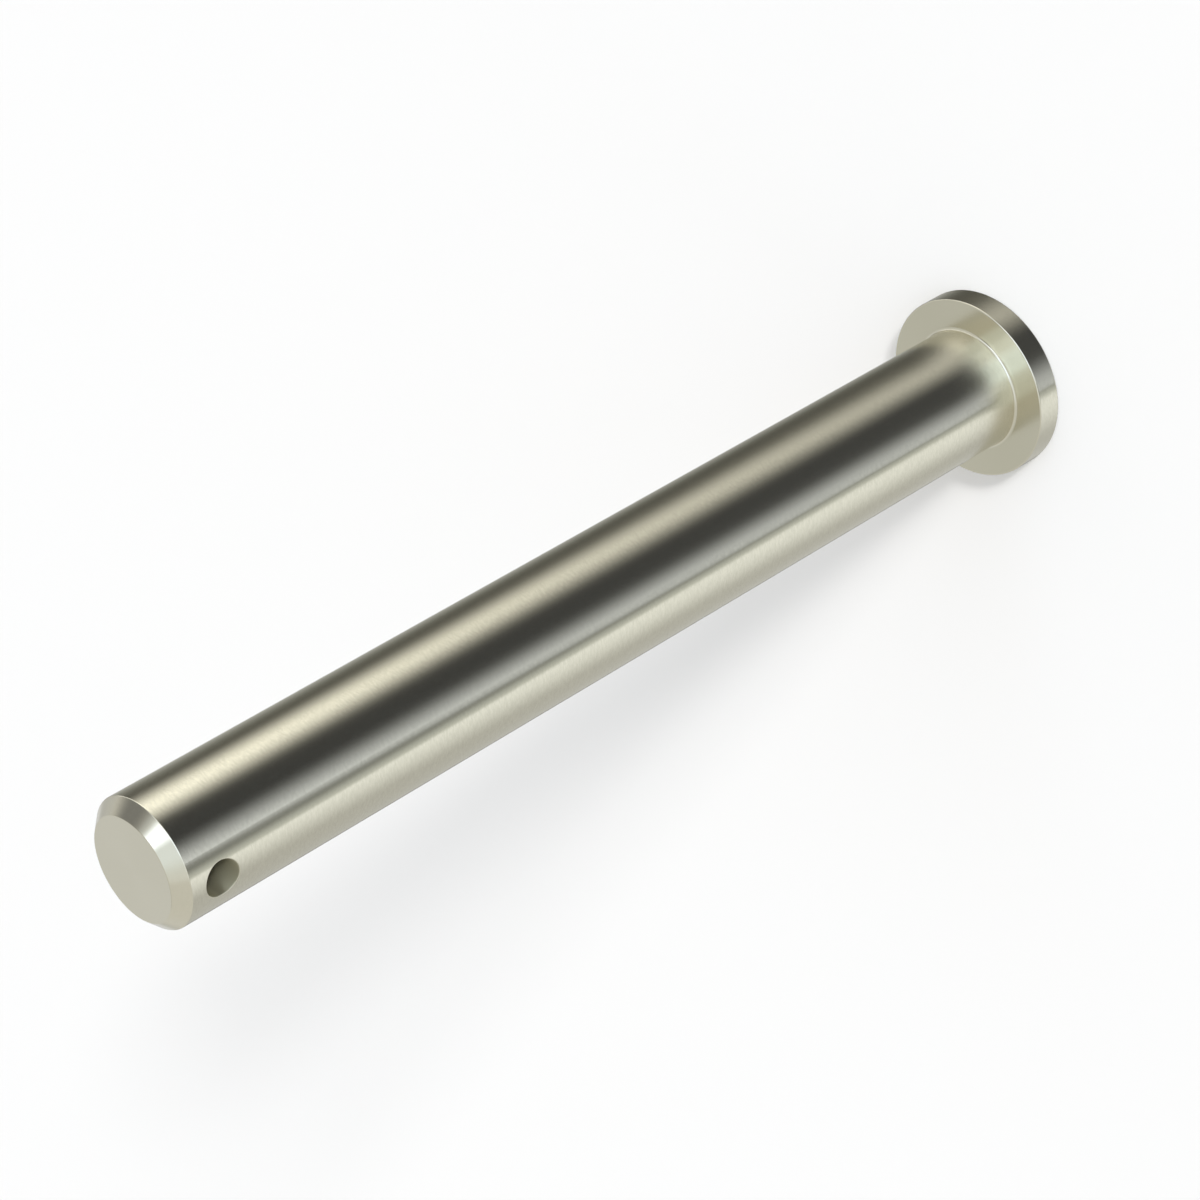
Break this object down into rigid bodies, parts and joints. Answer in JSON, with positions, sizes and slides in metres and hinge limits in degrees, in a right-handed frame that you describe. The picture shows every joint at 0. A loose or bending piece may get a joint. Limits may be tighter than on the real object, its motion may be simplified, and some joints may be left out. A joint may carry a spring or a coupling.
{
  "type": "clevis pin",
  "caption": "Headed clevis pin with a plain shank, a chamfered tip and a cross hole for a split pin.",
  "frame": {"origin": "middle of the head's flat top, which is the lowest face when the pin stands on its head", "axes": "+Z along the pin's axis from the head to the tip; the cross hole runs along Y"},
  "size_m": [0.0192, 0.0192, 0.1113],
  "materials": {
    "pin_metal": "satin, fine turning marks round the axis"
  },
  "bodies": {
    "root": {"clevis_pin": "pin_metal"}
  },
  "joints": []
}
